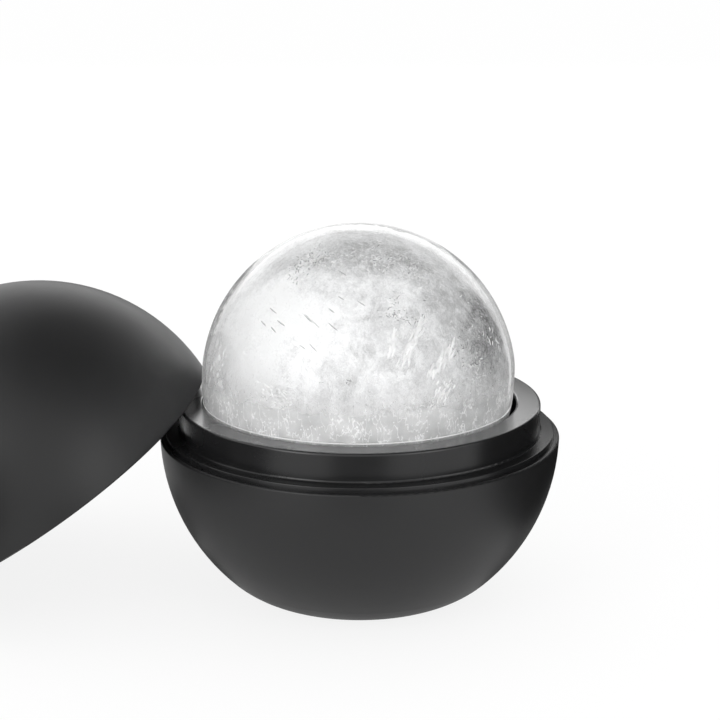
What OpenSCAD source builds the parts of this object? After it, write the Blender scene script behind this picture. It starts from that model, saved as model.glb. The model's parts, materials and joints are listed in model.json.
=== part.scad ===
// Ice ball mold: two thick soft rubber halves that plug together round a ball of ice.
// The origin is the middle of the lower half's flat base. Z points up, and lengths are in mm.
// As stored, the mold is open: the ball has popped up and sits on the collar's inner edge, and
// the upper half stands on the table beside the lower half and leans on its collar.

/* [Ball] */
// Diameter of the round cavity, which is the size of a ball fresh out of the mold
cavity_d = 63.5; // [55:0.5:75]
// How much smaller the ball is than the cavity, once it has begun to melt
melt = 0.8; // [0:0.1:1.2]

/* [Walls] */
// Wall between the cavity and the outside, the same all round
wall = 8.25; // [7:0.25:12]
// Floor between the cavity and the flat base
floor_t = 2.25; // [1.5:0.25:5]
// Radius that blends the flat base into the round outside
base_round = 18; // [10:0.5:24]

/* [Parting edge] */
// How far the outer seam lies below the middle of the ball
seam_drop = 0.7; // [0:0.1:2]
// Height of the step up from the outer seam to the ledge
step_h = 1; // [0.5:0.1:2]
// Width of the outer seam, from the step to the outside
seam_w = 1.15; // [0.8:0.05:2]
// Radius on the outer edge of the seam
seam_round = 0.35; // [0.1:0.05:0.6]
// Radius on the top edge of the step
step_round = 0.2; // [0.05:0.05:0.4]

/* [Collar] */
// Wall of the collar at the middle of the ball
collar_wall = 4.4; // [3:0.1:5.5]
// Height of the collar's top above the middle of the ball
collar_h = 6; // [5:0.1:9]
// Radius on the collar's two top edges
collar_round = 0.5; // [0.2:0.05:0.8]
// Radius in the corner between the collar and the ledge
root_round = 0.4; // [0.1:0.05:0.8]

/* [Fits] */
// Gap at the side between the collar or the step and the recess round it
plug_gap = 0.25; // [0.1:0.05:0.5]
// Gap between the halves' flat faces when they are closed
face_gap = 0.1; // [0:0.05:0.3]
// Gap between pieces that rest on each other
rest_gap = 0.25; // [0.2:0.05:0.5]

/* [Fill hole] */
// Diameter of the hole that the mold is filled through
fill_d = 7; // [4:0.5:12]
// Width of the flat rim round the fill hole
rim_w = 0.8; // [0.5:0.1:2]
// Height of that rim above the round outside
rim_h = 0.5; // [0.2:0.1:1.5]
// Length of the slope from the rim down to the outside
rim_slope = 1.6; // [0.8:0.1:3]
// Chamfer on the mouth of the fill hole
mouth_chamfer = 0.5; // [0.1:0.1:0.6]

/* [Leaning half] */
// How far the upper half is tipped over
lean_tilt = 32.8; // [25:0.2:38]
// Where it stands round the lower half, turned from +X
lean_bearing = 175.4; // [160:0.2:200]
// Which way its dome points, turned from +X
lean_heading = 184.5; // [170:0.5:200]

/* [Hidden] */
rubber = "#2c2c2e";
ice = "#e4e8ea";

$fn = 120;
eps = 0.01;
cavity_r = cavity_d / 2;
ball_r = (cavity_d - melt) / 2;
outer_r = cavity_r + wall;
mid_z = cavity_r + floor_t;         // the middle of the cavity, above the base
ledge_z = step_h - seam_drop;       // the ledge, above the middle of the cavity
ledge_r = outer_r - seam_w;
collar_r = cavity_r + collar_wall;
rim_r = fill_d / 2 + rim_w;
rim_z = outer_r + rim_h;
foot_r = rim_r + rim_slope;
lip_z = face_gap - seam_drop;       // the upper half's lowest face, when it is closed
// Where the circle that breaks the collar's inner edge has its middle, and where the ball then rests
edge_r = sqrt(pow(cavity_r + collar_round, 2) - pow(collar_h - collar_round, 2));
edge_z = collar_h - collar_round;
ball_z = mid_z + edge_z + sqrt(pow(ball_r + rest_gap + collar_round, 2) - pow(edge_r, 2));

// The circle that rounds a corner between a disc of radius r and a flat at height h: [x, y]
function corner(r, h, round) = [sqrt(pow(r - round, 2) - pow(h - round, 2)), h - round];

// Right half of a disc of radius r, cut flat at height h, with that corner rounded
module cut_disc(r, h, round) {
    c = corner(r, h, round);
    touch_y = c.y * r / (r - round);
    intersection() {
        circle(r);
        translate([0, -r]) square([r, r + touch_y]);
    }
    translate([0, c.y]) square([c.x, round]);
    intersection() {
        translate(c) circle(round);
        translate([0, -r]) square(2 * r);
    }
}

// What a radius takes off a square corner that points up and out, with its tip at [x, y]
module off_corner(x, y, round) {
    translate([x - round, y - round]) difference() {
        square(round + eps);
        circle(round);
    }
}

// Section of the lower half, from its axis out, with the middle of the cavity at [0, 0]
module lower_section() {
    difference() {
        union() {
            intersection() {
                cut_disc(outer_r, -seam_drop, seam_round);
                mirror([0, 1]) cut_disc(outer_r, mid_z, base_round);
            }
            // The step and the collar start a step below the seam, inside the wall
            translate([0, -seam_drop - step_h]) square([ledge_r, 2 * step_h]);
            translate([0, -seam_drop - step_h]) square([collar_r, seam_drop + step_h + collar_h]);
            translate([collar_r, ledge_z]) difference() {
                translate([-eps, -eps]) square(root_round + eps);
                translate([root_round, root_round]) circle(root_round);
            }
        }
        off_corner(ledge_r, ledge_z, step_round);
        off_corner(collar_r, collar_h, collar_round);
        neck_cut();
        circle(cavity_r);
    }
}

// The neck: the cavity closes in below the collar's top, and a radius breaks its inner edge
module neck_cut() {
    touch = cavity_r / (cavity_r + collar_round);
    difference() {
        polygon([
            [0, 0],
            [edge_r * touch, edge_z * touch],
            [edge_r, edge_z],
            [edge_r, collar_h + eps],
            [0, collar_h + eps]
        ]);
        translate([edge_r, edge_z]) circle(collar_round);
    }
}

// Section of the upper half, shut over the lower one, with the middle of the cavity at [0, 0]
module upper_section() {
    difference() {
        union() {
            mirror([0, 1]) cut_disc(outer_r, -lip_z, seam_round);
            polygon([
                [0, cavity_r],
                [foot_r, sqrt(pow(outer_r, 2) - pow(foot_r, 2)) - eps],
                [rim_r, rim_z],
                [0, rim_z]
            ]);
        }
        translate([0, -outer_r]) square([ledge_r + plug_gap, outer_r + ledge_z + face_gap]);
        translate([0, -outer_r]) square([collar_r + plug_gap, outer_r + collar_h + face_gap]);
        circle(cavity_r);
        square([fill_d / 2, 2 * outer_r]);
        polygon([
            [0, rim_z - mouth_chamfer - fill_d / 2],
            [fill_d / 2 + mouth_chamfer + eps, rim_z + eps],
            [0, rim_z + eps]
        ]);
    }
}

// Distances that set where the upper half leans, worked out on rings of points round both halves.
// A solid ring from radius a to b is met from below at height h, or from above at height h.
function off_ring(r, a, b) = max(a - r, r - b, 0);
function below(r, z, a, b, h) = norm([off_ring(r, a, b), max(h - z, 0)]);
function above(r, z, b, h) = norm([max(r - b, 0), max(z - h, 0)]);

lip_edge = corner(outer_r, -lip_z, seam_round);
lean_z = seam_round + lip_edge.x * sin(lean_tilt) + lip_edge.y * cos(lean_tilt);
tip_x = [cos(lean_tilt) * cos(lean_heading), cos(lean_tilt) * sin(lean_heading), -sin(lean_tilt)];
tip_y = [-sin(lean_heading), cos(lean_heading), 0];
tip_z = [sin(lean_tilt) * cos(lean_heading), sin(lean_tilt) * sin(lean_heading), cos(lean_tilt)];
function lean_at(d) = [d * cos(lean_bearing), d * sin(lean_bearing), lean_z];
function on_upper(d, a, r, z) = lean_at(d) + tip_x * r * cos(a) + tip_y * r * sin(a) + tip_z * z;

// From a point of the upper half to the lower half and the ball
function to_lower(p) = let (r = norm([p.x, p.y]), z = p.z - mid_z)
    min(above(r, z, outer_r, -seam_drop), above(r, z, ledge_r, ledge_z), above(r, z, collar_r, collar_h));
function to_ball(p) = norm(p - [0, 0, ball_z]) - ball_r;
// From a point of the lower half to the upper half
function to_upper(d, p) = let (v = p - lean_at(d), z = v * tip_z, r = norm([v * tip_x, v * tip_y]))
    min(
        below(r, z, ledge_r + plug_gap, outer_r, lip_z),
        below(r, z, collar_r + plug_gap, outer_r, ledge_z + face_gap),
        below(r, z, 0, outer_r, collar_h + face_gap)
    );
function lean_gap(d) = min([
    for (a = [0:2:358]) min(
        to_lower(on_upper(d, a, outer_r, lip_z)),
        to_lower(on_upper(d, a, ledge_r + plug_gap, lip_z)),
        to_ball(on_upper(d, a, outer_r, lip_z)),
        to_upper(d, [collar_r * cos(a), collar_r * sin(a), mid_z + collar_h])
    )
]);
// Halves the span from a place that is clear to one that isn't, until the gap is rest_gap
function settle(free, hit, n = 24) = n == 0 ? free :
    let (d = (free + hit) / 2) lean_gap(d) > rest_gap ? settle(d, hit, n - 1) : settle(free, d, n - 1);

lean_d = settle(3 * outer_r, outer_r);

module lower_half() {
    color(rubber) translate([0, 0, mid_z]) rotate_extrude() lower_section();
}

module upper_half() {
    color(rubber) translate(lean_at(lean_d)) rotate([0, lean_tilt, lean_heading])
        rotate_extrude() upper_section();
}

module ice_ball() {
    color(ice) translate([0, 0, ball_z]) sphere(ball_r);
}

lower_half();
upper_half();
ice_ball();
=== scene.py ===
# %% [markdown]
# # An ice ball mold, open, with its ball of ice
#
# The construction is done already: two thick rubber halves and a round solid that keeps the
# ball's place. This lesson loads them as a fixed frame and gives them their looks. The rubber
# halves keep their shape and get a finish. The ball is built anew, because ice is not one
# surface: it has a wet clear skin, a cloudy heart, frost, and cracks and bubbles in between.

# %% Load the frame
import json
import math
import random

import bmesh
import bpy
from mathutils import Matrix, Vector


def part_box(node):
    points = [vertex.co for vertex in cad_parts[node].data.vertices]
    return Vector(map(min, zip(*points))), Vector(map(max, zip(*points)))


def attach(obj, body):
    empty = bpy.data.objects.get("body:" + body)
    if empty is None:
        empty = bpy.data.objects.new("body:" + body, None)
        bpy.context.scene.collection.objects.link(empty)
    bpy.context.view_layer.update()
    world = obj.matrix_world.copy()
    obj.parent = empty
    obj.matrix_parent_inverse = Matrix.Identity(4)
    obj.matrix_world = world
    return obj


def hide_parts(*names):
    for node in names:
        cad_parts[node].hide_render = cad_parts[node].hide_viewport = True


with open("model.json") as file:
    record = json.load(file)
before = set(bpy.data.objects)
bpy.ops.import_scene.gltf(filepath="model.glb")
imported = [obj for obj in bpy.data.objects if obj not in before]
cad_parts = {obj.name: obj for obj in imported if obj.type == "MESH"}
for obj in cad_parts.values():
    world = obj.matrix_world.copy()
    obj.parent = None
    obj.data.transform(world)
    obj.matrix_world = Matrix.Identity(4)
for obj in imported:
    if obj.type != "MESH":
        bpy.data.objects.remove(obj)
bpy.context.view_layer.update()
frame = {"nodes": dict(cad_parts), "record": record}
MM = 0.001

# %% [markdown]
# ## Where things are
#
# Every place below comes from the frame. The lower half is round about the Z axis and as wide
# as its seam, so half its width is the outside radius. The ball's node gives the ball's radius
# and middle. The fill hole is a mount of the record: it lies on the leaning half's own axis.

# %% Measure the frame
low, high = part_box("lower_half")
OUTER_R = (high.x - low.x) / 2
COLLAR_TOP = high.z
MID_Z = 34 * MM  # the middle of the lower half's round outside
low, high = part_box("ice_ball")
BALL_R = (high.x - low.x) / 2
BALL_AT = (low + high) / 2
hole = next(m for m in frame["record"]["mounts"] if m["name"] == "fill_hole")
LEAN_AXIS = Vector(hole["axis"]).normalized()
HOLE_OUT = 35.78 * MM  # from the middle of the dome to the middle of the hole's wall
LEAN_AT = Vector(hole["pos_m"]) - LEAN_AXIS * HOLE_OUT
print("outside radius", round(OUTER_R / MM, 2), "ball radius", round(BALL_R / MM, 2))
print("ball at", [round(v / MM, 2) for v in BALL_AT])
print("leaning dome at", [round(v / MM, 2) for v in LEAN_AT])

# %% [markdown]
# ## The camera
#
# The picture is taken from the front with a long lens, a little above the mold. A long lens from
# far off keeps the round shapes round. The angle of view was worked out from the outlines of the
# two halves and the ball, which are circles in the picture.

# %% Place the camera
CAMERA_AT = Vector((0.05, -413.7, 162.15)) * MM
CAMERA_DOWN = math.radians(15.42)  # how far it looks down
SENSOR = 36.0  # the sensor's width and the lens, in mm
LENS = 107.6
NEAREST = 0.01  # in metres: what is nearer to the lens isn't drawn

bpy.ops.object.camera_add(location=CAMERA_AT, rotation=(math.pi / 2 - CAMERA_DOWN, 0, 0))
camera = bpy.context.object
camera.name = "camera"
camera.data.sensor_width = SENSOR
camera.data.lens = LENS
camera.data.clip_start = NEAREST
bpy.context.scene.camera = camera
print("camera", LENS, "mm lens, at", tuple(round(v, 4) for v in camera.location))

# %% [markdown]
# ## Small helpers for materials
#
# A material is a graph of nodes, and built in code it soon gets hard to read. So helpers come
# first. Some start a material, add a node with its values set, and end with the surface. The
# others are named for what they do to a value or a place, and each gives back a socket that the
# next one takes. Every pattern starts from the object's own coordinates, so it stays where it
# is on the piece when the piece moves.

# %% Material helpers
def new_material(name):
    """An empty material and its node tree."""
    material = bpy.data.materials.new(name)
    material.use_nodes = True
    material.node_tree.nodes.clear()
    return material, material.node_tree


def add(tree, kind, inputs=None, **settings):
    """A node of that kind, with its settings and the values of its inputs."""
    node = tree.nodes.new(kind)
    for key, value in settings.items():
        setattr(node, key, value)
    for key, value in (inputs or {}).items():
        if isinstance(value, bpy.types.NodeSocket):
            tree.links.new(value, node.inputs[key])
        else:
            node.inputs[key].default_value = value
    return node


def show(tree, shader):
    """Makes a shader node the material's surface."""
    add(tree, "ShaderNodeOutputMaterial", {"Surface": shader.outputs[0]})


def mixed(tree, share, first, second):
    """The first shader node, and the second one in its place by that share."""
    return add(tree, "ShaderNodeMixShader", {0: share, 1: first.outputs[0], 2: second.outputs[0]})


# %% Helpers for values
def math_node(tree, operation, a, b=0.0, clamp=False):
    """The result of a Math node on a and b, which are numbers or sockets."""
    return add(tree, "ShaderNodeMath", {0: a, 1: b}, operation=operation, use_clamp=clamp).outputs[0]


def plus(tree, a, b):
    return math_node(tree, "ADD", a, b)


def minus(tree, a, b):
    return math_node(tree, "SUBTRACT", a, b)


def times(tree, a, b):
    return math_node(tree, "MULTIPLY", a, b)


def larger(tree, a, b):
    return math_node(tree, "MAXIMUM", a, b)


def smaller(tree, a, b):
    return math_node(tree, "MINIMUM", a, b)


# %% Helpers for spans and rays
def spread(tree, value, from_low, from_high, to_low, to_high, smooth=False):
    """value stretched from one span to another, and held at its ends."""
    kind = "SMOOTHSTEP" if smooth else "LINEAR"
    spans = {"From Min": from_low, "From Max": from_high, "To Min": to_low, "To Max": to_high}
    return add(tree, "ShaderNodeMapRange", {"Value": value, **spans}, interpolation_type=kind).outputs[0]


def rays(tree, *kinds):
    """1 for a ray of any of these kinds, such as Is Camera Ray, and 0 for the others."""
    path = add(tree, "ShaderNodeLightPath")
    total = path.outputs[kinds[0]]
    for kind in kinds[1:]:
        total = larger(tree, total, path.outputs[kind])
    return total


# %% Helpers for places
def own_place(tree):
    """Where a point is on its own object, in metres."""
    return add(tree, "ShaderNodeTexCoord").outputs["Object"]


def ball_place(tree, radius):
    """Where a point is, from the middle of the ball, in parts of a radius."""
    shift = tuple(-BALL_AT / radius)
    inputs = {"Vector": own_place(tree), "Location": shift, "Scale": (1 / radius,) * 3}
    return add(tree, "ShaderNodeMapping", inputs).outputs[0]


def vector_node(tree, operation, a, b=(0, 0, 0)):
    """The result of a Vector Math node: a vector, or a number for a length, distance or product."""
    node = add(tree, "ShaderNodeVectorMath", {0: a, 1: b}, operation=operation)
    number = operation in ("LENGTH", "DISTANCE", "DOT_PRODUCT")
    return node.outputs["Value" if number else "Vector"]


def scaled(tree, vector, factor):
    return add(tree, "ShaderNodeVectorMath", {0: vector, "Scale": factor}, operation="SCALE").outputs[0]


def along_axis(tree, vector, axis):
    """The X, Y or Z of a vector."""
    return add(tree, "ShaderNodeSeparateXYZ", {0: vector}).outputs[axis]


# %% Helpers for patterns and tones
def clouds(tree, vector, scale, detail, roughness=0.5, result="Fac"):
    """A soft random pattern, finer where scale is larger, with its middle value at 0.5."""
    inputs = {"Vector": vector, "Scale": scale, "Detail": detail, "Roughness": roughness}
    return add(tree, "ShaderNodeTexNoise", inputs).outputs[result]


def mottle(tree, pattern, to_low, to_high):
    """The usual span of a cloud pattern, stretched to another span."""
    return spread(tree, pattern, 0.35, 0.65, to_low, to_high)


def grey(tree, tone, blue=None):
    """A grey of that tone, or one with a blue of its own."""
    blue = tone if blue is None else blue
    return add(tree, "ShaderNodeCombineColor", {0: tone, 1: tone, 2: blue}).outputs[0]


def bump(tree, height, strength, distance):
    """A surface direction that makes a height pattern look raised."""
    inputs = {"Height": height, "Strength": strength, "Distance": distance}
    return add(tree, "ShaderNodeBump", inputs).outputs[0]


# %% [markdown]
# ## The floor
#
# The mold stands on plain white. Lit paper alone would be greyer where the lamps are weak, and
# more light on it would be more light on the mold. So most of the floor's white is its own glow,
# for the camera and for what is seen through the ice, and the rest is lit, which keeps a soft
# shadow under the mold. In the rubber's gloss the floor glows less, or the underside of the
# bowl would look grey.

# %% Floor
FLOOR_SIZE = 8.0
FLOOR_OWN = 0.85  # the share of the floor's white that no shadow takes away
FLOOR_IN_GLOSS = 0.45  # the same share in what the rubber mirrors
PAPER = (0.95, 0.95, 0.95, 1)
WHITE = (1, 1, 1, 1)

def white_floor():
    material, tree = new_material("white_floor")
    lit = add(tree, "ShaderNodeBsdfDiffuse", {"Color": PAPER})
    own = add(tree, "ShaderNodeEmission", {"Color": WHITE, "Strength": 1.0})
    plain = times(tree, rays(tree, "Is Camera Ray", "Is Transmission Ray"), FLOOR_OWN)
    gloss = times(tree, rays(tree, "Is Glossy Ray"), FLOOR_IN_GLOSS)
    show(tree, mixed(tree, larger(tree, plain, gloss), lit, own))
    return material


bpy.ops.mesh.primitive_plane_add(size=FLOOR_SIZE, location=(0, 0, 0))
floor = bpy.context.object
floor.name = "floor"
floor.data.materials.append(white_floor())
print("floor", FLOOR_SIZE, "m wide")

# %% [markdown]
# ## The room
#
# A plain white room gives most of the light, from all sides at once, as a light tent does. It is
# one background node of strength 1, where white renders as white. The view transform is
# Standard, so that a colour comes out as it is written.

# %% World
def white_room():
    world = bpy.data.worlds.new("studio")
    world.use_nodes = True
    tree = world.node_tree
    tree.nodes.clear()
    back = add(tree, "ShaderNodeBackground", {"Color": WHITE, "Strength": 1.0})
    add(tree, "ShaderNodeOutputWorld", {"Surface": back.outputs[0]})
    return world


bpy.context.scene.world = white_room()
bpy.context.scene.view_settings.view_transform = "Standard"
print("world", bpy.context.scene.world.name)

# %% [markdown]
# ## The lamps
#
# Two tall soft lamps stand in front, one on either side. The rubber mirrors them as its bright
# sides, and the left one is the stronger. A low wide lamp behind lights the ball's rim and the
# collar's top. Area lamps are used, because a point lamp would leave small hard highlights.

# %% Lamps
LAMP_TARGET = (0, 0, 0.03)
LAMPS = {  # place, width, height and power, in metres and watts
    "lamp_left": ((-0.48, -0.57, 0.22), 0.32, 0.6, 1.9),
    "lamp_right": ((0.48, -0.57, 0.22), 0.32, 0.6, 1.0),
    "lamp_back": ((0.0, 0.72, 0.29), 1.2, 0.22, 0.8),
}

def aim(location, target):
    """The turn that points an object's -Z from location at target."""
    return (Vector(target) - Vector(location)).to_track_quat("-Z", "Y").to_euler()


for name, (place, wide, tall, watts) in LAMPS.items():
    bpy.ops.object.light_add(type="AREA", location=place, rotation=aim(place, LAMP_TARGET))
    lamp = bpy.context.object
    lamp.name = name
    lamp.data.shape = "RECTANGLE"
    lamp.data.size = wide
    lamp.data.size_y = tall
    lamp.data.energy = watts
    print(name, "at", place, watts, "W")

# %% [markdown]
# ## Dark cards for the gloss
#
# Black rubber shows its form only by what it mirrors. In a studio, dark cards and balls stand where the
# gloss should go dark. Here they are a card low in front, between the two bright sides, a wide grey one
# overhead, a drum at the right and balls at the left and behind. There are also round cards on the
# floor, which are painted shadow: they darken the floor in the gloss, as shade round the mold's foot and
# behind it would. Black ones end the gloss and grey ones dim it. Only glossy rays meet them, so the
# camera and the lamps pass through. Each keeps clear of the mold, because one that cut into a half would
# leave a hard dark edge on it.

# %% A dark card
def dark_card(card, name, tone=0.01):
    """Makes an object a card of that tone, which darkens only what gloss shows of the room."""
    material, tree = new_material(name)
    show(tree, add(tree, "ShaderNodeBsdfDiffuse", {"Color": (tone, tone, tone, 1)}))
    card.name = name
    card.data.materials.append(material)
    for kind in ("camera", "diffuse", "shadow", "transmission"):
        setattr(card, "visible_" + kind, False)
    print(name, "at", tuple(round(v, 3) for v in card.location))


# %% Cards in front, overhead and at the right
FRONT_CARD_W = 62 * MM
FRONT_CARD_H = 24 * MM
FRONT_CARD_AT = (0, -115 * MM, FRONT_CARD_H / 2)
bpy.ops.mesh.primitive_plane_add(size=1, location=FRONT_CARD_AT, rotation=(math.pi / 2, 0, 0))
card = bpy.context.object
card.scale = (FRONT_CARD_W, FRONT_CARD_H, 1)
dark_card(card, "card_front")

TOP_CARD_R = 0.45
TOP_CARD_AT = (0.16, 0.10, 0.6)
TOP_CARD_TONE = 0.12
bpy.ops.mesh.primitive_circle_add(radius=TOP_CARD_R, fill_type="NGON", location=TOP_CARD_AT)
dark_card(bpy.context.object, "card_top", TOP_CARD_TONE)

DRUM_R = 48 * MM
DRUM_H = 76 * MM
DRUM_AT = (100 * MM, 5 * MM, DRUM_H / 2)
bpy.ops.mesh.primitive_cylinder_add(radius=DRUM_R, depth=DRUM_H, location=DRUM_AT)
dark_card(bpy.context.object, "drum_right")

# %% Cards on the floor, and balls
CARD_Z = 0.5 * MM  # just above the floor
# Painted shadow: each floor card darkens what the gloss shows of the floor, round the foot and behind
# the mold.
FLOOR_SHADOW_CARDS = {  # x, y and radius in mm, and tone
    "card_floor": (84, 72, 46, 0.01),
    "card_floor_right": (52, 24, 33, 0.35),
    "card_floor_left": (-50, 26, 24, 0.6),
    "card_floor_far": (-84, 124, 32, 0.05),
    "card_foot_right": (32, 2, 12, 0.3),
    "card_foot_left": (-30, 2, 10, 0.5),
}
for name, (x, y, radius, tone) in FLOOR_SHADOW_CARDS.items():
    place = (x * MM, y * MM, CARD_Z)
    bpy.ops.mesh.primitive_circle_add(radius=radius * MM, fill_type="NGON", location=place)
    dark_card(bpy.context.object, name, tone)

DARK_BALLS = {  # the middle in mm, whose height is the radius too
    "ball_left": (-104, -59, 32),
    "ball_back_left": (-62, 112, 34),
    "ball_back_right": (55, 108, 37),
}
for name, middle in DARK_BALLS.items():
    radius = middle[2] * MM
    bpy.ops.mesh.primitive_ico_sphere_add(subdivisions=3, radius=radius, location=Vector(middle) * MM)
    dark_card(bpy.context.object, name)

# %% [markdown]
# ## The rubber
#
# Both halves are moulded in one black silicone rubber. The tool that makes the outside is
# fine-blasted, which leaves a soft, even sheen. The collar, the step and the cavity are
# smoother, because they seal and shape the ice. The halves keep their construction meshes and
# get one finish. The distance from the middle of the dome tells the outside from the inner
# faces, and the flat base is told by its height. The bump is a fine grain, less than a tenth of
# a millimetre high. The collar's top carries a thin film of melt water. It is a clear coat over
# the rubber, and starts just under the top.

# %% Rubber material
RUBBER = (0.0088, 0.0088, 0.0092)
RUBBER_INDEX = 1.45
WATER_INDEX = 1.33
MOTTLE_SCALE = 45.0  # clouds of about 20 mm
GRAIN_SCALE = 2600.0  # specks of about 0.4 mm
BLASTED = (0.40, 0.48)  # roughness of the outside, from cloud to cloud
SMOOTHER_BY = 0.17  # how much less rough the inner faces are
TONE_SPAN = (0.9, 1.12)
GRAIN_OUT = 0.12  # strength of the grain outside and on the inner faces
GRAIN_IN = 0.05
GRAIN_TALL = 0.05 * MM
BASE_EDGE = (0.010, 0.012)  # heights in metres, below which all is outside
SKIN_DEPTH = 0.3 * MM  # what is deeper than this belongs to the inside
FILM_EDGE = 0.3 * MM  # height over which the film of water begins
FILM = 0.85

def rubber_material(name, middle, wet_above):
    """Black rubber for a half with its dome round middle, wet above a height."""
    material, tree = new_material(name)
    place = own_place(tree)
    from_mid = vector_node(tree, "DISTANCE", place, middle)
    inner = spread(tree, from_mid, OUTER_R - SKIN_DEPTH * 1.5, OUTER_R - SKIN_DEPTH, 1, 0)
    height = along_axis(tree, place, "Z")
    smoother = times(tree, inner, spread(tree, height, *BASE_EDGE, 0, 1))

    cloud = clouds(tree, place, MOTTLE_SCALE, 4.0, 0.55)
    rough = spread(tree, cloud, 0.3, 0.7, *BLASTED)
    rough = minus(tree, rough, times(tree, smoother, SMOOTHER_BY))
    shade = scaled(tree, RUBBER, spread(tree, cloud, 0.3, 0.7, *TONE_SPAN))
    grain = clouds(tree, place, GRAIN_SCALE, 2.0)
    raised = bump(tree, grain, spread(tree, smoother, 0, 1, GRAIN_OUT, GRAIN_IN), GRAIN_TALL)
    wet = spread(tree, height, wet_above, wet_above + FILM_EDGE, 0, 1)
    show(tree, add(tree, "ShaderNodeBsdfPrincipled", {
        "Base Color": shade, "Roughness": rough, "Normal": raised, "IOR": RUBBER_INDEX,
        "Coat Weight": times(tree, wet, FILM), "Coat Roughness": 0.2, "Coat IOR": WATER_INDEX}))
    return material


# %% Rubber on both halves
WET_FROM = COLLAR_TOP - 0.5 * MM
NEVER_WET = 1.0  # a height in metres that the leaning half doesn't reach

def dress(node_name, material):
    """Every material slot of a CAD node gets this material."""
    mesh = frame["nodes"][node_name].data
    for index in range(len(mesh.materials)):
        mesh.materials[index] = material
    print(node_name, "wears", material.name)


dress("lower_half", rubber_material("rubber_lower", (0, 0, MID_Z), WET_FROM))
dress("upper_half", rubber_material("rubber_upper", tuple(LEAN_AT), NEVER_WET))

# %% [markdown]
# ## Shaping the ice
#
# What makes up the ball starts as an icosphere or a ring. One helper gives its surface waves by
# a texture, one puts its place into its mesh and smooths its shading, and one presses the place
# where it has melted in, with proportional editing, as by hand.

# %% Shaping helpers
def nothing_selected():
    if bpy.context.object and bpy.context.object.mode != "OBJECT":
        bpy.ops.object.mode_set(mode="OBJECT")
    bpy.ops.object.select_all(action="DESELECT")


def cloud_texture(name, size, depth=2):
    texture = bpy.data.textures.new(name, "CLOUDS")
    texture.noise_scale = size
    texture.noise_depth = depth
    return texture


def displace(piece, texture, strength, middle=1.0):
    """Moves the faces along their normals by a texture, and applies it at once."""
    modifier = piece.modifiers.new("displace", "DISPLACE")
    modifier.texture = texture
    modifier.texture_coords = "LOCAL"
    modifier.strength = strength
    modifier.mid_level = middle
    bpy.context.view_layer.objects.active = piece
    bpy.ops.object.modifier_apply(modifier=modifier.name)


def settle(piece):
    """Puts a piece's place into its mesh, with its object at the origin."""
    nothing_selected()
    piece.select_set(True)
    bpy.context.view_layer.objects.active = piece
    bpy.ops.object.transform_apply(location=True, rotation=True, scale=True)
    bpy.ops.object.shade_smooth()


# %% Where the ball has melted
SHIFT = 0.2 * MM  # the ball sits a touch to the left in the collar
MELT = 0.5 * MM  # and has melted away more at the right, near the collar
MELT_WIDE = 10 * MM
MELT_CORE = 3 * MM
MELT_AT = BALL_AT + Vector((0.97, -0.1, -0.2)) * BALL_R

def melt_in(piece):
    """Presses the faces at the melted place in, and less and less of what lies round them."""
    nothing_selected()
    bpy.context.view_layer.objects.active = piece
    piece.select_set(True)
    bpy.ops.object.mode_set(mode="EDIT")
    bpy.ops.mesh.select_all(action="DESELECT")
    mesh = bmesh.from_edit_mesh(piece.data)
    for vertex in mesh.verts:
        vertex.select_set((vertex.co - MELT_AT).length < MELT_CORE)
    mesh.select_flush(True)
    bmesh.update_edit_mesh(piece.data)
    bpy.ops.transform.translate(value=(-MELT, 0, 0), use_proportional_edit=True,
                                proportional_edit_falloff="SMOOTH", proportional_size=MELT_WIDE)
    bpy.ops.object.mode_set(mode="OBJECT")
    print(piece.name, "melted in by", MELT / MM, "mm")


# %% [markdown]
# ## The skin of the ice
#
# The ball has begun to melt. Its outside is clear, wet and a little wavy. It is an icosphere,
# whose even triangles have no poles that a lens-like surface would show. Two displace modifiers
# press long and short waves into it. They only press inwards, so the ball never outgrows its
# place.

# %% Ice skin
nothing_selected()
SKIN_AT = BALL_AT - Vector((SHIFT, 0, 0))
bpy.ops.mesh.primitive_ico_sphere_add(subdivisions=7, radius=BALL_R, location=SKIN_AT)
skin = bpy.context.object
skin.name = "ice_skin"
settle(skin)
melt_in(skin)
displace(skin, cloud_texture("long_waves", size=14 * MM), strength=0.06 * MM)
displace(skin, cloud_texture("short_waves", size=3.2 * MM, depth=1), strength=0.03 * MM)
print("skin", len(skin.data.polygons), "faces")

# %% [markdown]
# ## Clear ice
#
# Clear ice bends light less than glass does: its index is 1.31. Shadow rays go straight
# through the skin, which lets the lamps reach what lies inside. A little sheen stands for the
# frost that the wet surface still holds, which shows most where it is seen edge on. The skin
# takes the place of the ball's node, which stays in the frame unseen.

# %% Clear ice
ICE_INDEX = 1.31
ICE_TINT = (0.985, 0.99, 0.99, 1)
RIPPLE_SCALE = 420.0  # ripples of about 2 mm
RIPPLE_TALL = 0.1 * MM

def see_through_for_lamps(tree, shader):
    """The shader node, but nothing at all for shadow rays."""
    return mixed(tree, rays(tree, "Is Shadow Ray"), shader, add(tree, "ShaderNodeBsdfTransparent"))


def clear_ice():
    material, tree = new_material("clear_ice")
    ripple = clouds(tree, own_place(tree), RIPPLE_SCALE, 3.0)
    glass = add(tree, "ShaderNodeBsdfPrincipled", {
        "Base Color": ICE_TINT, "Roughness": 0.02, "IOR": ICE_INDEX, "Transmission Weight": 1.0,
        "Sheen Weight": 0.5, "Sheen Roughness": 0.35, "Normal": bump(tree, ripple, 0.3, RIPPLE_TALL)})
    show(tree, see_through_for_lamps(tree, glass))
    return material


skin.data.materials.append(clear_ice())
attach(skin, "ball")
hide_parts("ice_ball")
print("skin wears clear ice, index", ICE_INDEX)

# %% [markdown]
# ## The cloudy heart
#
# Water freezes from the outside in, and pushes its air ahead of it. So the middle of the ball
# is milky and full of fine bubbles. Seen through the round skin, which works as a lens, a heart
# of three quarters of the ball's radius fills the whole ball. It is a second icosphere with a
# lumpy surface, because a volume full of fine air would take far longer to render.

# %% Heart shape
HEART_R = 23.6 * MM

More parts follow.
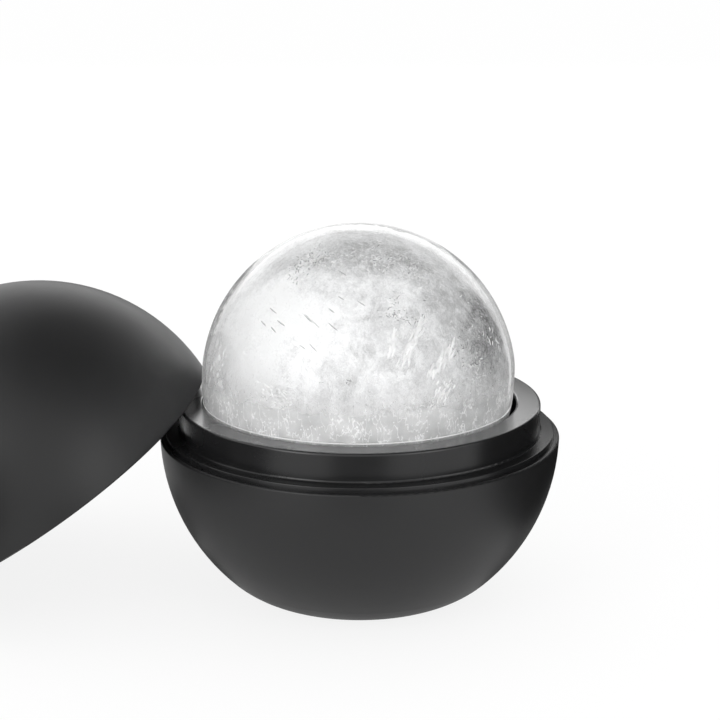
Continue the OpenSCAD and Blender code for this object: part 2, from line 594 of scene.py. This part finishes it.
nothing_selected()
bpy.ops.mesh.primitive_ico_sphere_add(subdivisions=6, radius=HEART_R, location=BALL_AT)
heart = bpy.context.object
heart.name = "ice_heart"
settle(heart)
displace(heart, cloud_texture("heart_long", size=12 * MM), strength=1.6 * MM, middle=0.5)
displace(heart, cloud_texture("heart_short", size=2.5 * MM, depth=3), strength=0.5 * MM, middle=0.5)
print("heart", len(heart.data.polygons), "faces")

# %% [markdown]
# ## Patterns in the ice
#
# Three patterns make up the clouding. A blob is a soft round place. Veins are thin wandering
# lines, where a cloud pattern crosses its middle value. Crystals are small cells with a tone of
# their own, as where many crystals of ice meet, each with another tilt. Lengths are in parts of
# the heart's radius, so a place on the heart is a direction from its middle.

# %% Pattern helpers
def blob(tree, vector, middle, near, far, stretch=(1, 1, 1)):
    """1 within near of a point, and 0 past far."""
    off = vector_node(tree, "SUBTRACT", vector, middle)
    off = vector_node(tree, "MULTIPLY", off, stretch)
    return spread(tree, vector_node(tree, "LENGTH", off), near, far, 1.0, 0.0, smooth=True)


def laid(tree, vector, turn, stretch):
    """A place for a pattern that is turned and drawn out."""
    inputs = {"Vector": vector, "Rotation": turn, "Scale": stretch}
    return add(tree, "ShaderNodeMapping", inputs).outputs[0]


def veins(tree, vector, scale, width, turn=(0, 0, 0), stretch=(1, 1, 1)):
    """1 on thin wandering lines."""
    field = clouds(tree, laid(tree, vector, turn, stretch), scale, 3.0, 0.6)
    off = math_node(tree, "ABSOLUTE", minus(tree, field, 0.5))
    return spread(tree, off, 0.0, width, 1.0, 0.0)


def crystals(tree, vector, scale, turn, stretch):
    """A random value for each of many small cells with crooked borders."""
    flat = laid(tree, vector, turn, stretch)
    crooked = scaled(tree, clouds(tree, flat, scale * 1.5, 3.0, result="Color"), 0.9 / scale)
    spot = vector_node(tree, "ADD", flat, crooked)
    cells = add(tree, "ShaderNodeTexVoronoi", {"Vector": spot, "Scale": scale})
    return add(tree, "ShaderNodeSeparateColor", {0: cells.outputs["Color"]}).outputs[0]


# %% [markdown]
# ## The heart's main tones
#
# The heart is milk white at the front left, where most air gathered, and greyer at the right and under
# the top, where the ice froze clearer. Low down and at the far left it is painted lighter. This is
# painted light for what the clear ice would carry to where the rubber shades the heart. The places are
# bent by a cloud pattern first, so that no border between two tones is smooth.

# %% Bent places
def bent_places(tree, unit):
    """The places on the heart, bent much by a cloud pattern, and bent a little."""
    warp = clouds(tree, unit, 3.0, 6.0, 0.65, "Color")
    push = scaled(tree, vector_node(tree, "SUBTRACT", warp, (0.5, 0.5, 0.5)), 0.7)
    bent = vector_node(tree, "ADD", unit, push)
    return bent, vector_node(tree, "ADD", unit, scaled(tree, push, 0.25))


# %% Milk and grey
MILK_AT = (-0.75, -0.53, 0.56)
GREY_RIGHT_AT = (0.9, -0.15, 0.4)
GREY_TOP_AT = (0.05, -0.1, 1.0)
BARE_TONE = 0.735  # where there is no milk
# The first two are painted light, added low down and at the far left where the rubber shades the heart.
LOW_PAINTED_LIGHT = 0.10  # what each place adds to the tone, or takes from it
LEFT_PAINTED_LIGHT = 0.22
RIGHT_DARKER = 0.37
TOP_DARKER = 0.15

def milk_and_grey(tree, unit, bent, drift):
    """The main tones, and where the ice is of the rough grey kind."""
    milk = blob(tree, bent, MILK_AT, 0.25, 0.92, (1, 1, 1.25))
    grey_right = blob(tree, bent, GREY_RIGHT_AT, 0.1, 0.65)
    grey_top = blob(tree, bent, GREY_TOP_AT, 0.1, 0.4, (0.4, 1, 1))
    # Painted light: lighter low down and at the far left, where the rubber shades the heart.
    low_down = spread(tree, along_axis(tree, unit, "Z"), -0.3, 0.15, LOW_PAINTED_LIGHT, 0.0)
    to_left = spread(tree, along_axis(tree, unit, "X"), -0.95, -0.4, LEFT_PAINTED_LIGHT, 0.0)
    tone = spread(tree, milk, 0, 1, BARE_TONE, 1.0)
    tone = plus(tree, tone, plus(tree, low_down, to_left))
    tone = minus(tree, tone, times(tree, grey_right, RIGHT_DARKER))
    tone = minus(tree, tone, times(tree, grey_top, TOP_DARKER))
    tone = plus(tree, tone, mottle(tree, drift, -0.06, 0.05))
    return tone, larger(tree, grey_right, grey_top)


# %% [markdown]
# ## Crystals and lines on the heart
#
# Closer up, the clouding is made of crystals, of fine dark lines where clear ice shows between
# them, most of all in the grey places, and of white wisps and hair lines full of air. Each is one
# of the patterns, stretched and turned, with a share of the tone that it adds or takes.

# %% Crystals and lines
PATCH_DARKER = 0.12  # the dark lines in patches, and in the rough grey ice
ROUGH_DARKER = 0.22
WISP_LIGHTER = 0.14
HAIR_LIGHTER = 0.22

def crystals_and_lines(tree, tone, unit, bent, where, rough_ice):
    """The tone with crystals, dark lines and wisps."""
    patch = spread(tree, where, 0.46, 0.58, 0.0, 1.0)
    big = crystals(tree, bent, 5.0, (0, 0.5, 0.3), (1.6, 1, 0.7))
    small = crystals(tree, bent, 15.0, (0.3, -0.4, 0), (1.5, 1, 0.6))
    small = times(tree, spread(tree, small, 0, 1, -0.08, 0.07), patch)
    tone = plus(tree, tone, plus(tree, spread(tree, big, 0, 1, -0.05, 0.04), small))
    finer = veins(tree, unit, 24.0, 0.06, (0, 0.5, 0), (1.8, 1, 0.7))
    dark = larger(tree, veins(tree, bent, 15.0, 0.05), finer)
    share = larger(tree, times(tree, patch, PATCH_DARKER), times(tree, rough_ice, ROUGH_DARKER))
    tone = minus(tree, tone, times(tree, dark, share))
    wisps = veins(tree, bent, 4.5, 0.1, (0, 0.4, 0), (2.0, 1, 0.6))
    wisps = times(tree, wisps, spread(tree, where, 0.4, 0.6, 1, 0.2))
    return plus(tree, tone, times(tree, wisps, WISP_LIGHTER))


def hair_lines(tree, bent):
    """1 on the thin white lines."""
    long_ones = veins(tree, bent, 13.0, 0.035, (0.4, 0.6, 0), (2.2, 1, 0.6))
    return larger(tree, veins(tree, bent, 8.0, 0.02), long_ones)


# %% [markdown]
# ## Single lighter and darker places
#
# Some places are the ball's own and follow no pattern: a few larger shades, and a row of small
# smudges where a crack runs down into the heart. Each is a small blob in a table, so one is
# easily moved or added.

# %% Touches
TOUCHES = (  # where, full within, gone past, and what it adds to the tone
    ((-0.60, -0.06, 0.80), 0.05, 0.28, -0.20),
    ((-0.33, 0.0, 0.94), 0.03, 0.22, 0.12),
    ((-0.46, -0.83, 0.30), 0.08, 0.36, -0.13),
    ((0.56, -0.37, 0.74), 0.05, 0.25, -0.13),
    ((0.07, -0.87, 0.49), 0.0, 0.09, -0.16),
    ((0.02, -0.91, 0.41), 0.0, 0.09, -0.16),
    ((-0.03, -0.945, 0.32), 0.0, 0.09, -0.16),
    ((-0.07, -0.965, 0.25), 0.0, 0.09, -0.16),
    ((-0.11, -0.977, 0.18), 0.0, 0.09, -0.16),
)

def touched(tree, tone, bent_little):
    """The tone with the single places."""
    for middle, near, far, change in TOUCHES:
        tone = plus(tree, tone, times(tree, blob(tree, bent_little, middle, near, far), change))
    return tone


# %% [markdown]
# ## The heart's far half
#
# The skin is a lens, and near the ball's outline it shows the sides of the heart and even its back. On
# the real ball a grey ring runs there, and outside it a white rim of light. So the heart gets a painted
# shade ring round its middle, seen from the front. It also gets a painted rim light, a white back in its
# upper part, which stands for the light caught from behind. Both borders wander with the cloud patterns,
# because nothing in ice ends in a straight line.

# %% Painted shade ring and painted rim light
# The way the camera looks: the painted shade ring and the painted rim light are laid out from it.
TO_BACK = (0, 0.962, -0.274)
TO_TOP = (0, 0.274, 0.962)  # square to the way to the back
BAND_PAINTED_SHADE = 0.22
WHITEST = 0.98

def painted_shade_ring(tree, tone, away, x, drift):
    """The tone with the painted shade ring, which is darker at the right, and with a painted shade band
    at the far left.
    """
    ring = times(tree, spread(tree, away, -0.45, -0.2, 0.0, 1.0), spread(tree, away, 0.0, 0.1, 1.0, 0.0))
    ring = times(tree, ring, mottle(tree, drift, 0.5, 1.2))
    tone = minus(tree, tone, times(tree, ring, spread(tree, x, -0.2, 0.7, 0.11, 0.15)))
    band = times(tree, spread(tree, away, -0.05, 0.05, 0.0, 1.0), spread(tree, x, -0.85, -0.7, 1.0, 0.0))
    band = times(tree, band, spread(tree, away, 0.15, 0.25, 1.0, 0.3))
    return minus(tree, tone, times(tree, band, BAND_PAINTED_SHADE))


def painted_rim_light(tree, away, x, up, drift):
    """The painted rim light on the back, with a second painted grey line at the right, and greyer at its
    middle.
    """
    back = times(tree, spread(tree, away, 0.03, 0.2, 0.0, 0.97), spread(tree, up, 0.2, 0.5, 0.0, 1.0))
    line = times(tree, spread(tree, away, 0.24, 0.3, 0.0, 0.35), spread(tree, x, 0.25, 0.5, 0.0, 1.0))
    middle = spread(tree, away, 0.45, 0.75, 0.0, 0.3)
    middle = times(tree, middle, spread(tree, drift, 0.4, 0.6, 0.3, 1.0))
    return minus(tree, minus(tree, back, line), middle)


# Painted shade and painted light on the heart, laid out from the way the camera looks.
def painted_ring_and_rim(tree, tone, unit, drift, where):
    away = vector_node(tree, "DOT_PRODUCT", unit, TO_BACK)
    away = plus(tree, away, mottle(tree, drift, -0.07, 0.07))
    away = plus(tree, away, mottle(tree, where, -0.04, 0.04))
    up = vector_node(tree, "DOT_PRODUCT", unit, TO_TOP)
    x = along_axis(tree, unit, "X")
    tone = painted_shade_ring(tree, tone, away, x, drift)
    return smaller(tree, larger(tree, tone, painted_rim_light(tree, away, x, up, drift)), WHITEST)


# %% [markdown]
# ## Cloudy ice
#
# All of it is put together as one grey. Light enters milky ice and comes out again some
# millimetres off, so most of the surface is subsurface scattering, and a rough bump breaks what
# gloss is left.

# %% Cloudy ice
GLOW_DEPTH = 8 * MM  # how far light wanders in the milk
HEART_BUMP = 0.5 * MM

def cloudy_ice():
    material, tree = new_material("cloudy_ice")
    unit = ball_place(tree, HEART_R)
    bent, bent_little = bent_places(tree, unit)
    drift = clouds(tree, unit, 8.0, 4.0, 0.55)
    where = clouds(tree, unit, 4.5, 4.0)
    hairs = hair_lines(tree, bent)
    tone, rough_ice = milk_and_grey(tree, unit, bent, drift)
    tone = crystals_and_lines(tree, tone, unit, bent, where, rough_ice)
    tone = plus(tree, tone, times(tree, hairs, HAIR_LIGHTER))
    tone = touched(tree, tone, bent_little)
    tone = painted_ring_and_rim(tree, tone, unit, drift, where)
    height = plus(tree, clouds(tree, unit, 26.0, 5.0, 0.75), times(tree, hairs, 0.6))
    show(tree, add(tree, "ShaderNodeBsdfPrincipled", {
        "Base Color": grey(tree, tone, times(tree, tone, 1.006)), "Roughness": 0.55,
        "Normal": bump(tree, height, 0.4, HEART_BUMP), "Subsurface Weight": 0.85,
        "Subsurface Radius": (1.0, 1.0, 1.0), "Subsurface Scale": GLOW_DEPTH}))
    return material


heart.data.materials.append(cloudy_ice())
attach(heart, "ball")
print("heart wears", heart.data.materials[0].name)

# %% [markdown]
# ## Frost
#
# Where the ball lay longest against the rubber, low down and at the left, a thin film of frost
# holds in the wet skin. It is smooth and half see-through, with fine white lines, short curls
# and specks in it. It is a shell just inside the skin, whose material is clear where there is no
# frost. A shell of its own keeps the frost sharp in front of the blurred heart.

# %% Frost material
FROST_R = BALL_R - 0.5 * MM
FROST_LOW = 0.8  # how thick the film is low down and at the left, where 1 hides all
FROST_LEFT = 0.3

def frost_marks(tree, unit, drift):
    """1 on the white lines, curls and specks."""
    lines = veins(tree, unit, 7.0, 0.014, (0.3, 0.5, 0), (1.8, 1, 0.7))
    breaks = clouds(tree, unit, 48.0, 2.0)
    curls = veins(tree, unit, 19.0, 0.05, (0, 0.3, 0.4))
    curls = times(tree, curls, spread(tree, drift, 0.50, 0.6, 0, 1.0))
    curls = times(tree, curls, spread(tree, breaks, 0.44, 0.56, 0, 1))
    cells = add(tree, "ShaderNodeTexVoronoi", {"Vector": unit, "Scale": 26.0}).outputs["Distance"]
    specks = times(tree, spread(tree, cells, 0.08, 0.17, 1, 0), spread(tree, drift, 0.44, 0.5, 1, 0))
    return larger(tree, larger(tree, lines, curls), specks)


def frost_film():
    material, tree = new_material("frost_film")
    unit = ball_place(tree, FROST_R)
    low_down = spread(tree, along_axis(tree, unit, "Z"), -0.14, 0.22, FROST_LOW, 0.0, smooth=True)
    to_left = spread(tree, along_axis(tree, unit, "X"), -1.0, -0.7, FROST_LEFT, 0.0, smooth=True)
    film = larger(tree, low_down, to_left)
    drift = clouds(tree, unit, 6.0, 3.0)
    marks = frost_marks(tree, unit, drift)
    share = times(tree, film, mottle(tree, drift, 0.75, 1.1))
    marks_share = times(tree, marks, spread(tree, film, 0, 0.6, 0.1, 0.4))
    share = math_node(tree, "ADD", share, marks_share, clamp=True)
    tone = plus(tree, mottle(tree, drift, 0.70, 0.80), times(tree, marks, 0.2))
    show(tree, add(tree, "ShaderNodeBsdfPrincipled", {
        "Base Color": grey(tree, tone), "Roughness": 0.5, "Alpha": share}))
    return material


# %% Frost shell
nothing_selected()
bpy.ops.mesh.primitive_ico_sphere_add(subdivisions=6, radius=FROST_R, location=BALL_AT)
frost = bpy.context.object
frost.name = "ice_frost"
settle(frost)
displace(frost, cloud_texture("frost_waves", size=5 * MM), strength=0.3 * MM)
frost.data.materials.append(frost_film())
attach(frost, "ball")
print("frost", len(frost.data.polygons), "faces")

# %% [markdown]
# ## What is caught in the clear ice
#
# Between heart and skin the ice is clear, so what is caught there shows sharply, and shifts
# against the heart as the view turns. It could be painted on the heart, but then it would lie
# flat. So it is made of hundreds of tiny pieces. One of each kind is modelled and copied, and
# the copies are joined to one piece, so that it stays easy to handle.

# %% Copies
def scatter(model, name, spots):
    """Joins copies of model, one for each matrix in spots, and removes the model."""
    copies = []
    for spot in spots:
        copy = model.copy()
        copy.data = model.data.copy()
        bpy.context.collection.objects.link(copy)
        copy.matrix_world = spot
        copies.append(copy)
    nothing_selected()
    for copy in copies:
        copy.select_set(True)
    bpy.context.view_layer.objects.active = copies[0]
    bpy.ops.object.join()
    piece = bpy.context.object
    piece.name = name
    settle(piece)
    bpy.data.objects.remove(model)
    print(name, len(spots), "copies,", len(piece.data.polygons), "faces")
    return piece


# %% [markdown]
# ## Places along a trail
#
# Such flaws don't lie evenly. They follow the way the ice grew, in trails and swarms. A trail
# goes from one direction to another, seen from the ball's middle, and its copies stray from it
# a little and lie at any depth of the clear ice. One seeded random generator makes all of them,
# so every run gives the same ball.

# %% Strewn spots
CLEAR_LOW = 25.2 * MM  # the clear ice reaches from this radius
CLEAR_HIGH = 30.4 * MM  # to this one
rng = random.Random(5)

def spot_at(point, along, size, wide):
    """The matrix that stands a model of length 1 along Z at a point, lying along a direction."""
    turn = Vector(along).to_track_quat("Z", "Y").to_matrix().to_4x4()
    return Matrix.Translation(point) @ turn @ Matrix.Diagonal((wide, wide, size, 1))


def random_step(reach):
    return Vector([rng.uniform(-reach, reach) for _ in range(3)])


def strewn(start, end, count, width, long, thick, loose=0.35, along=None):
    """Spots on a trail: long and thick are spans in mm, and loose turns the copies about."""
    spots = []
    start = Vector(start).normalized()
    end = Vector(end).normalized()
    along = Vector(along or end - start).normalized()
    for _ in range(count):
        way = start.lerp(end, rng.random()) + Vector([rng.gauss(0, width) for _ in range(3)])
        point = BALL_AT + way.normalized() * rng.uniform(CLEAR_LOW, CLEAR_HIGH)
        lean = along + random_step(loose)
        spots.append(spot_at(point, lean, rng.uniform(*long) * MM, rng.uniform(*thick) * MM))
    return spots


def spots_of(trails, long, thick, loose):
    spots = []
    for start, end, count, width in trails:
        spots += strewn(start, end, count, width, long, thick, loose)
    return spots


# %% [markdown]
# ## The look of trapped air
#
# Air in a crack or a fine channel is neither white nor clear. It is a thin grey veil, lighter
# where light falls on it, so its surface is see-through by a share and a little mottled. One
# material is made for each kind, with its own tone and share.

# %% Trapped air
AIR_ROUGHNESS = 0.3
AIR_TONE_STEP = 0.15  # how far the tone strays

def trapped_air(name, tone, share):
    """A translucent surface for what is trapped in the ice."""
    material, tree = new_material(name)
    spots = clouds(tree, own_place(tree), 900.0, 2.0)
    low_tone = tone * (1 - AIR_TONE_STEP)
    high_tone = tone * (1 + AIR_TONE_STEP)
    level = smaller(tree, spread(tree, spots, 0.3, 0.7, low_tone, high_tone), WHITEST)
    show(tree, add(tree, "ShaderNodeBsdfPrincipled", {
        "Base Color": grey(tree, level), "Roughness": AIR_ROUGHNESS, "Alpha": share}))
    return material


# %% [markdown]
# ## A sliver
#
# Needles, crumbs and cracks are all thin slivers, of other sizes and tones. A sliver is a sphere
# of few faces that the copies draw out to a spindle. Its upper half is moved aside a little, so
# that it isn't quite straight.

# %% Sliver
BEND_FROM = 0.1
BEND_BY = 0.03

def sliver(name):
    """A spindle of length 1 along Z, a little bent."""
    nothing_selected()
    bpy.ops.mesh.primitive_uv_sphere_add(segments=6, ring_count=8, radius=0.5)
    piece = bpy.context.object
    piece.name = name
    bpy.ops.object.mode_set(mode="EDIT")
    bpy.ops.mesh.select_all(action="DESELECT")
    mesh = bmesh.from_edit_mesh(piece.data)
    for vertex in mesh.verts:
        vertex.select_set(vertex.co.z > BEND_FROM)
    mesh.select_flush(True)
    bmesh.update_edit_mesh(piece.data)
    bpy.ops.transform.translate(value=(BEND_BY, 0, 0))
    bpy.ops.object.mode_set(mode="OBJECT")
    return piece


def sliver_piece(name, spots, tone, share):
    """One piece of many slivers, riding with the ball."""
    piece = scatter(sliver(name + "_one"), name, spots)
    piece.data.materials.append(trapped_air(name + "_air", tone, share))
    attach(piece, "ball")


# %% [markdown]
# ## Needles
#
# Air that the ice caught as it grew makes thin dark needles, which all point nearly the same
# way. There are only a few, so each gets its place from a list, and only its size, depth and
# lean are left to chance.

# %% Needles
NEEDLES = (
    (-0.54, -0.58, 0.61), (-0.63, -0.56, 0.54), (-0.60, -0.60, 0.53), (-0.515, -0.645, 0.565),
    (-0.37, -0.675, 0.64), (-0.30, -0.74, 0.60), (-0.33, -0.72, 0.615), (-0.19, -0.705, 0.68),
    (-0.18, -0.785, 0.59), (-0.40, -0.79, 0.46), (-0.29, -0.845, 0.445), (-0.12, -0.675, 0.73),
    (-0.11, -0.525, 0.845), (0.01, -0.69, 0.725), (-0.40, 0.80, 0.45), (0.30, 0.80, 0.50),
    (0.60, 0.75, 0.20),
)
NEEDLE_WAY = (0.72, -0.2, -0.6)
NEEDLE_LOOSE = 0.12
NEEDLE_LONG = (1.3, 2.4)
NEEDLE_THICK = (0.13, 0.19)

needle_spots = []
for way in NEEDLES:
    needle_spots += strewn(way, way, count=1, width=0.0, long=NEEDLE_LONG, thick=NEEDLE_THICK,
                           loose=NEEDLE_LOOSE, along=NEEDLE_WAY)
sliver_piece("ice_needles", needle_spots, tone=0.3, share=0.6)

# %% [markdown]
# ## Plates
#
# Small cracks shine white where the light meets them flat. They are thin plates that lie along
# their trail and face up and to the front left. Broad ones overlap to feathers, and small ones
# make streaks. A plate is an icosphere of few faces, pressed flat.

# %% Plate
PLATE_FLAT = 0.12

def plate():
    """A thin flat ellipse, 1 long along X and 1 wide along Y."""
    nothing_selected()
    bpy.ops.mesh.primitive_ico_sphere_add(subdivisions=2, radius=0.5)
    bpy.ops.object.mode_set(mode="EDIT")
    bpy.ops.mesh.select_all(action="SELECT")
    bpy.ops.transform.resize(value=(1, 1, PLATE_FLAT))
    bpy.ops.object.mode_set(mode="OBJECT")
    return bpy.context.object


# %% Plates along a trail
PLATE_FACE = Vector((-0.35, -0.70, 0.60)).normalized()
PLATE_TURN = 0.3  # how far a plate's face strays
PLATE_STRAY = 0.06  # and how far its length does
PLATE_TONE = 1.1
PLATE_SHARE = 0.97

def plate_spots(trails, long, wide):
    """Spots for plates: long and wide are spans in mm."""
    spots = []
    for start, end, count, width in trails:
        along = Vector(end) - Vector(start)
        for spot in strewn(start, end, count, width, (1, 1), (1, 1)):
            face = (PLATE_FACE + random_step(PLATE_TURN)).normalized()
            side = face.cross(along + random_step(PLATE_STRAY)).normalized()
            turn = Matrix((side.cross(face), side, face)).transposed().to_4x4()
            sizes = [rng.uniform(*span) * MM for span in (long, wide, wide)]
            spots.append(Matrix.Translation(spot.translation) @ turn @ Matrix.Diagonal((*sizes, 1)))
    return spots


def plate_piece(name, spots):
    """One piece of many plates, riding with the ball."""
    piece = scatter(plate(), name, spots)
    piece.data.materials.append(trapped_air(name + "_air", PLATE_TONE, PLATE_SHARE))
    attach(piece, "ball")


# %% Feathers and streaks
FEATHERS = (  # a trail's start and end, its count and how far copies stray
    ((0.40, -0.71, 0.58), (0.28, -0.88, 0.36), 60, 0.012),
    ((0.24, -0.79, 0.56), (0.21, -0.88, 0.42), 24, 0.012),
    ((0.60, -0.67, 0.43), (0.48, -0.83, 0.27), 50, 0.014),
)
STREAKS = (
    ((0.57, -0.80, 0.20), (0.48, -0.88, -0.04), 90, 0.022),
    ((0.71, -0.70, 0.05), (0.73, -0.67, -0.15), 34, 0.016),
    ((0.36, -0.93, 0.06), (0.30, -0.94, -0.12), 40, 0.030),
    ((-0.63, -0.76, 0.16), (-0.50, -0.86, 0.08), 44, 0.025),
    ((-0.80, 0.19, 0.57), (-0.957, 0.025, 0.29), 60, 0.006),
    ((-0.90, -0.29, 0.33), (-0.953, -0.30, 0.04), 40, 0.010),
    ((0.84, -0.30, 0.50), (0.92, -0.30, 0.26), 8, 0.030),
    ((0.10, 0.90, 0.50), (-0.30, 0.95, 0.00), 80, 0.050),
    ((-0.60, 0.70, 0.50), (-0.75, 0.65, -0.10), 70, 0.050),
    ((0.70, 0.60, 0.50), (0.60, 0.80, -0.15), 80, 0.050),
)
plate_piece("ice_feathers", plate_spots(FEATHERS, long=(1.0, 2.8), wide=(0.25, 0.60)))
plate_piece("ice_streaks", plate_spots(STREAKS, long=(0.4, 1.6), wide=(0.15, 0.40)))

# %% [markdown]
# ## Crumbs and cracks
#
# Under the top, down the right side and along the collar, the clear ice is full of crumbs, pale
# and short, and of dark cracks between them. Both are slivers that lie every way, so they are
# turned about at random.

# %% Crumbs and cracks
EVERY_WAY = 3.0
CRUMBS = (
    ((-0.50, -0.40, 0.78), (-0.10, -0.32, 0.94), 110, 0.06),
    ((0.00, -0.32, 0.95), (0.48, -0.42, 0.77), 120, 0.07),
    ((0.60, -0.30, 0.74), (0.90, -0.30, 0.30), 16, 0.08),
    ((0.66, -0.62, 0.42), (0.78, -0.60, 0.00), 110, 0.07),
    ((-0.70, -0.70, -0.10), (-0.30, -0.94, -0.14), 90, 0.04),
    ((-0.20, -0.97, -0.12), (0.70, -0.70, -0.16), 150, 0.04),
    ((-0.70, 0.50, 0.50), (0.70, 0.60, 0.20), 200, 0.25),
)
CRACKS = (
    ((0.22, -0.59, 0.78), (0.24, -0.72, 0.66), 20, 0.020),
    ((0.14, -0.74, 0.66), (0.43, -0.68, 0.60), 30, 0.016),
    ((0.67, -0.60, 0.43), (0.75, -0.60, 0.27), 24, 0.030),
    ((0.79, -0.56, 0.26), (0.77, -0.57, 0.28), 12, 0.008),
    ((0.90, -0.41, 0.15), (0.93, -0.365, -0.01), 14, 0.012),
    ((-0.26, -0.935, 0.24), (-0.25, -0.935, 0.25), 2, 0.004),
    ((-0.12, -0.975, 0.18), (-0.03, -0.945, 0.33), 6, 0.012),
    ((-0.46, -0.37, 0.81), (-0.30, -0.28, 0.91), 36, 0.018),
    ((-0.46, -0.35, 0.82), (-0.20, -0.26, 0.95), 40, 0.030),
    ((0.00, -0.26, 0.96), (0.45, -0.36, 0.82), 34, 0.040),
    ((-0.70, -0.70, -0.10), (-0.60, -0.78, -0.16), 18, 0.020),
    ((-0.70, 0.50, 0.50), (0.70, 0.60, 0.20), 60, 0.25),
)
crumb_spots = spots_of(CRUMBS, long=(0.3, 1.0), thick=(0.10, 0.24), loose=EVERY_WAY)
sliver_piece("ice_crumbs", crumb_spots, tone=1.1, share=0.85)
crack_spots = spots_of(CRACKS, long=(0.3, 1.0), thick=(0.09, 0.17), loose=EVERY_WAY)
sliver_piece("ice_cracks", crack_spots, tone=0.25, share=0.55)

# %% [markdown]
# ## Bubbles and flakes
#
# Fine bubbles sparkle low down and at the right, and thin gaps in the ice flash like flakes of
# glass. A flake is a bubble pressed flat. Both are nothing but air in ice. Light passes from
# the denser ice into it, so the glass that stands for it has an index of 1 over the ice's.

# %% Bubble
def bubble(name, flat):
    """A small bubble, or with a low flat value the thin gap of a crack."""
    nothing_selected()
    bpy.ops.mesh.primitive_ico_sphere_add(subdivisions=2, radius=0.5)
    piece = bpy.context.object
    piece.name = name
    bpy.ops.object.mode_set(mode="EDIT")
    bpy.ops.mesh.select_all(action="SELECT")
    bpy.ops.transform.resize(value=(1, 0.7 + 0.3 * flat, flat))
    bpy.ops.object.mode_set(mode="OBJECT")
    return piece


def round_spots(trails, size):
    """Spots for bubbles: size is a span in metres, the same in every direction."""
    spots = []
    for start, end, count, width in trails:
        for spot in strewn(start, end, count, width, (1, 1), (1, 1), EVERY_WAY):
            spots.append(spot @ Matrix.Diagonal((rng.uniform(*size),) * 3 + (1,)))
    return spots


def bubble_air():
    material, tree = new_material("bubble_air")
    inputs = {"Color": WHITE, "Roughness": 0.0, "IOR": 1 / ICE_INDEX}
    show(tree, see_through_for_lamps(tree, add(tree, "ShaderNodeBsdfGlass", inputs)))
    return material


# %% Bubbles and flakes
BUBBLE_FLAT = 0.7
BUBBLE_SIZE = (0.12 * MM, 0.4 * MM)
BUBBLES = (
    ((-0.60, -0.78, -0.10), (0.70, -0.70, -0.12), 300, 0.10),
    ((0.60, -0.70, 0.35), (0.90, -0.35, 0.00), 160, 0.10),
    ((-0.70, 0.50, 0.50), (0.70, 0.60, 0.20), 240, 0.30),
)
FLAKE_FLAT = 0.04
FLAKE_SIZE = (0.6 * MM, 1.8 * MM)
FLAKES = (
    ((-0.55, -0.42, 0.74), (-0.10, -0.30, 0.95), 60, 0.06),
    ((0.00, -0.30, 0.95), (0.48, -0.42, 0.77), 60, 0.07),
    ((0.60, -0.30, 0.74), (0.90, -0.30, 0.20), 60, 0.08),
    ((0.62, -0.62, 0.45), (0.78, -0.60, 0.00), 60, 0.08),
    ((0.10, -0.70, 0.68), (0.45, -0.70, 0.56), 40, 0.04),
    ((-0.70, -0.70, -0.10), (0.60, -0.78, -0.14), 110, 0.05),
    ((-0.90, -0.30, 0.30), (-0.95, -0.25, -0.10), 30, 0.04),
    ((-0.70, 0.50, 0.50), (0.70, 0.60, 0.20), 120, 0.30),
)
AIR = bubble_air()
for model, name, trails, size in ((bubble("bubble", BUBBLE_FLAT), "ice_bubbles", BUBBLES, BUBBLE_SIZE),
                                  (bubble("flake", FLAKE_FLAT), "ice_flakes", FLAKES, FLAKE_SIZE)):
    piece = scatter(model, name, round_spots(trails, size))
    piece.data.materials.append(AIR)
    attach(piece, "ball")

# %% [markdown]
# ## The melt line
#
# Where the ball rests on the collar's inner edge, a bead of melt water clings to it. Its milky white
# tone is a painted highlight, the bright line that the wet edge catches. It is a thin ring round the
# ball, half sunk in the ice. A torus is the plain way to make one. It is melted in at the right with the
# skin, and a short wave makes its thickness uneven.

# %% Melt line
BEAD_Z = 40.3 * MM  # just above the collar's top
BEAD_THICK = 0.32 * MM
BEAD_SUNK = 0.08 * MM
BEAD_R = math.sqrt(BALL_R ** 2 - (BALL_AT.z - BEAD_Z) ** 2) - BEAD_SUNK
BEAD_AT = (BALL_AT.x - SHIFT, BALL_AT.y, BEAD_Z)

nothing_selected()
bpy.ops.mesh.primitive_torus_add(location=BEAD_AT, major_segments=180, minor_segments=10,
                                 major_radius=BEAD_R, minor_radius=BEAD_THICK / 2)
bead = bpy.context.object
bead.name = "melt_bead"
settle(bead)
melt_in(bead)
displace(bead, cloud_texture("bead_waves", size=2 * MM, depth=1), strength=0.1 * MM, middle=0.7)
# A painted highlight: the bead's near white tone.
bead.data.materials.append(trapped_air("bead_painted_highlight", tone=0.95, share=0.8))
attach(bead, "ball")
print("bead", len(bead.data.polygons), "faces")
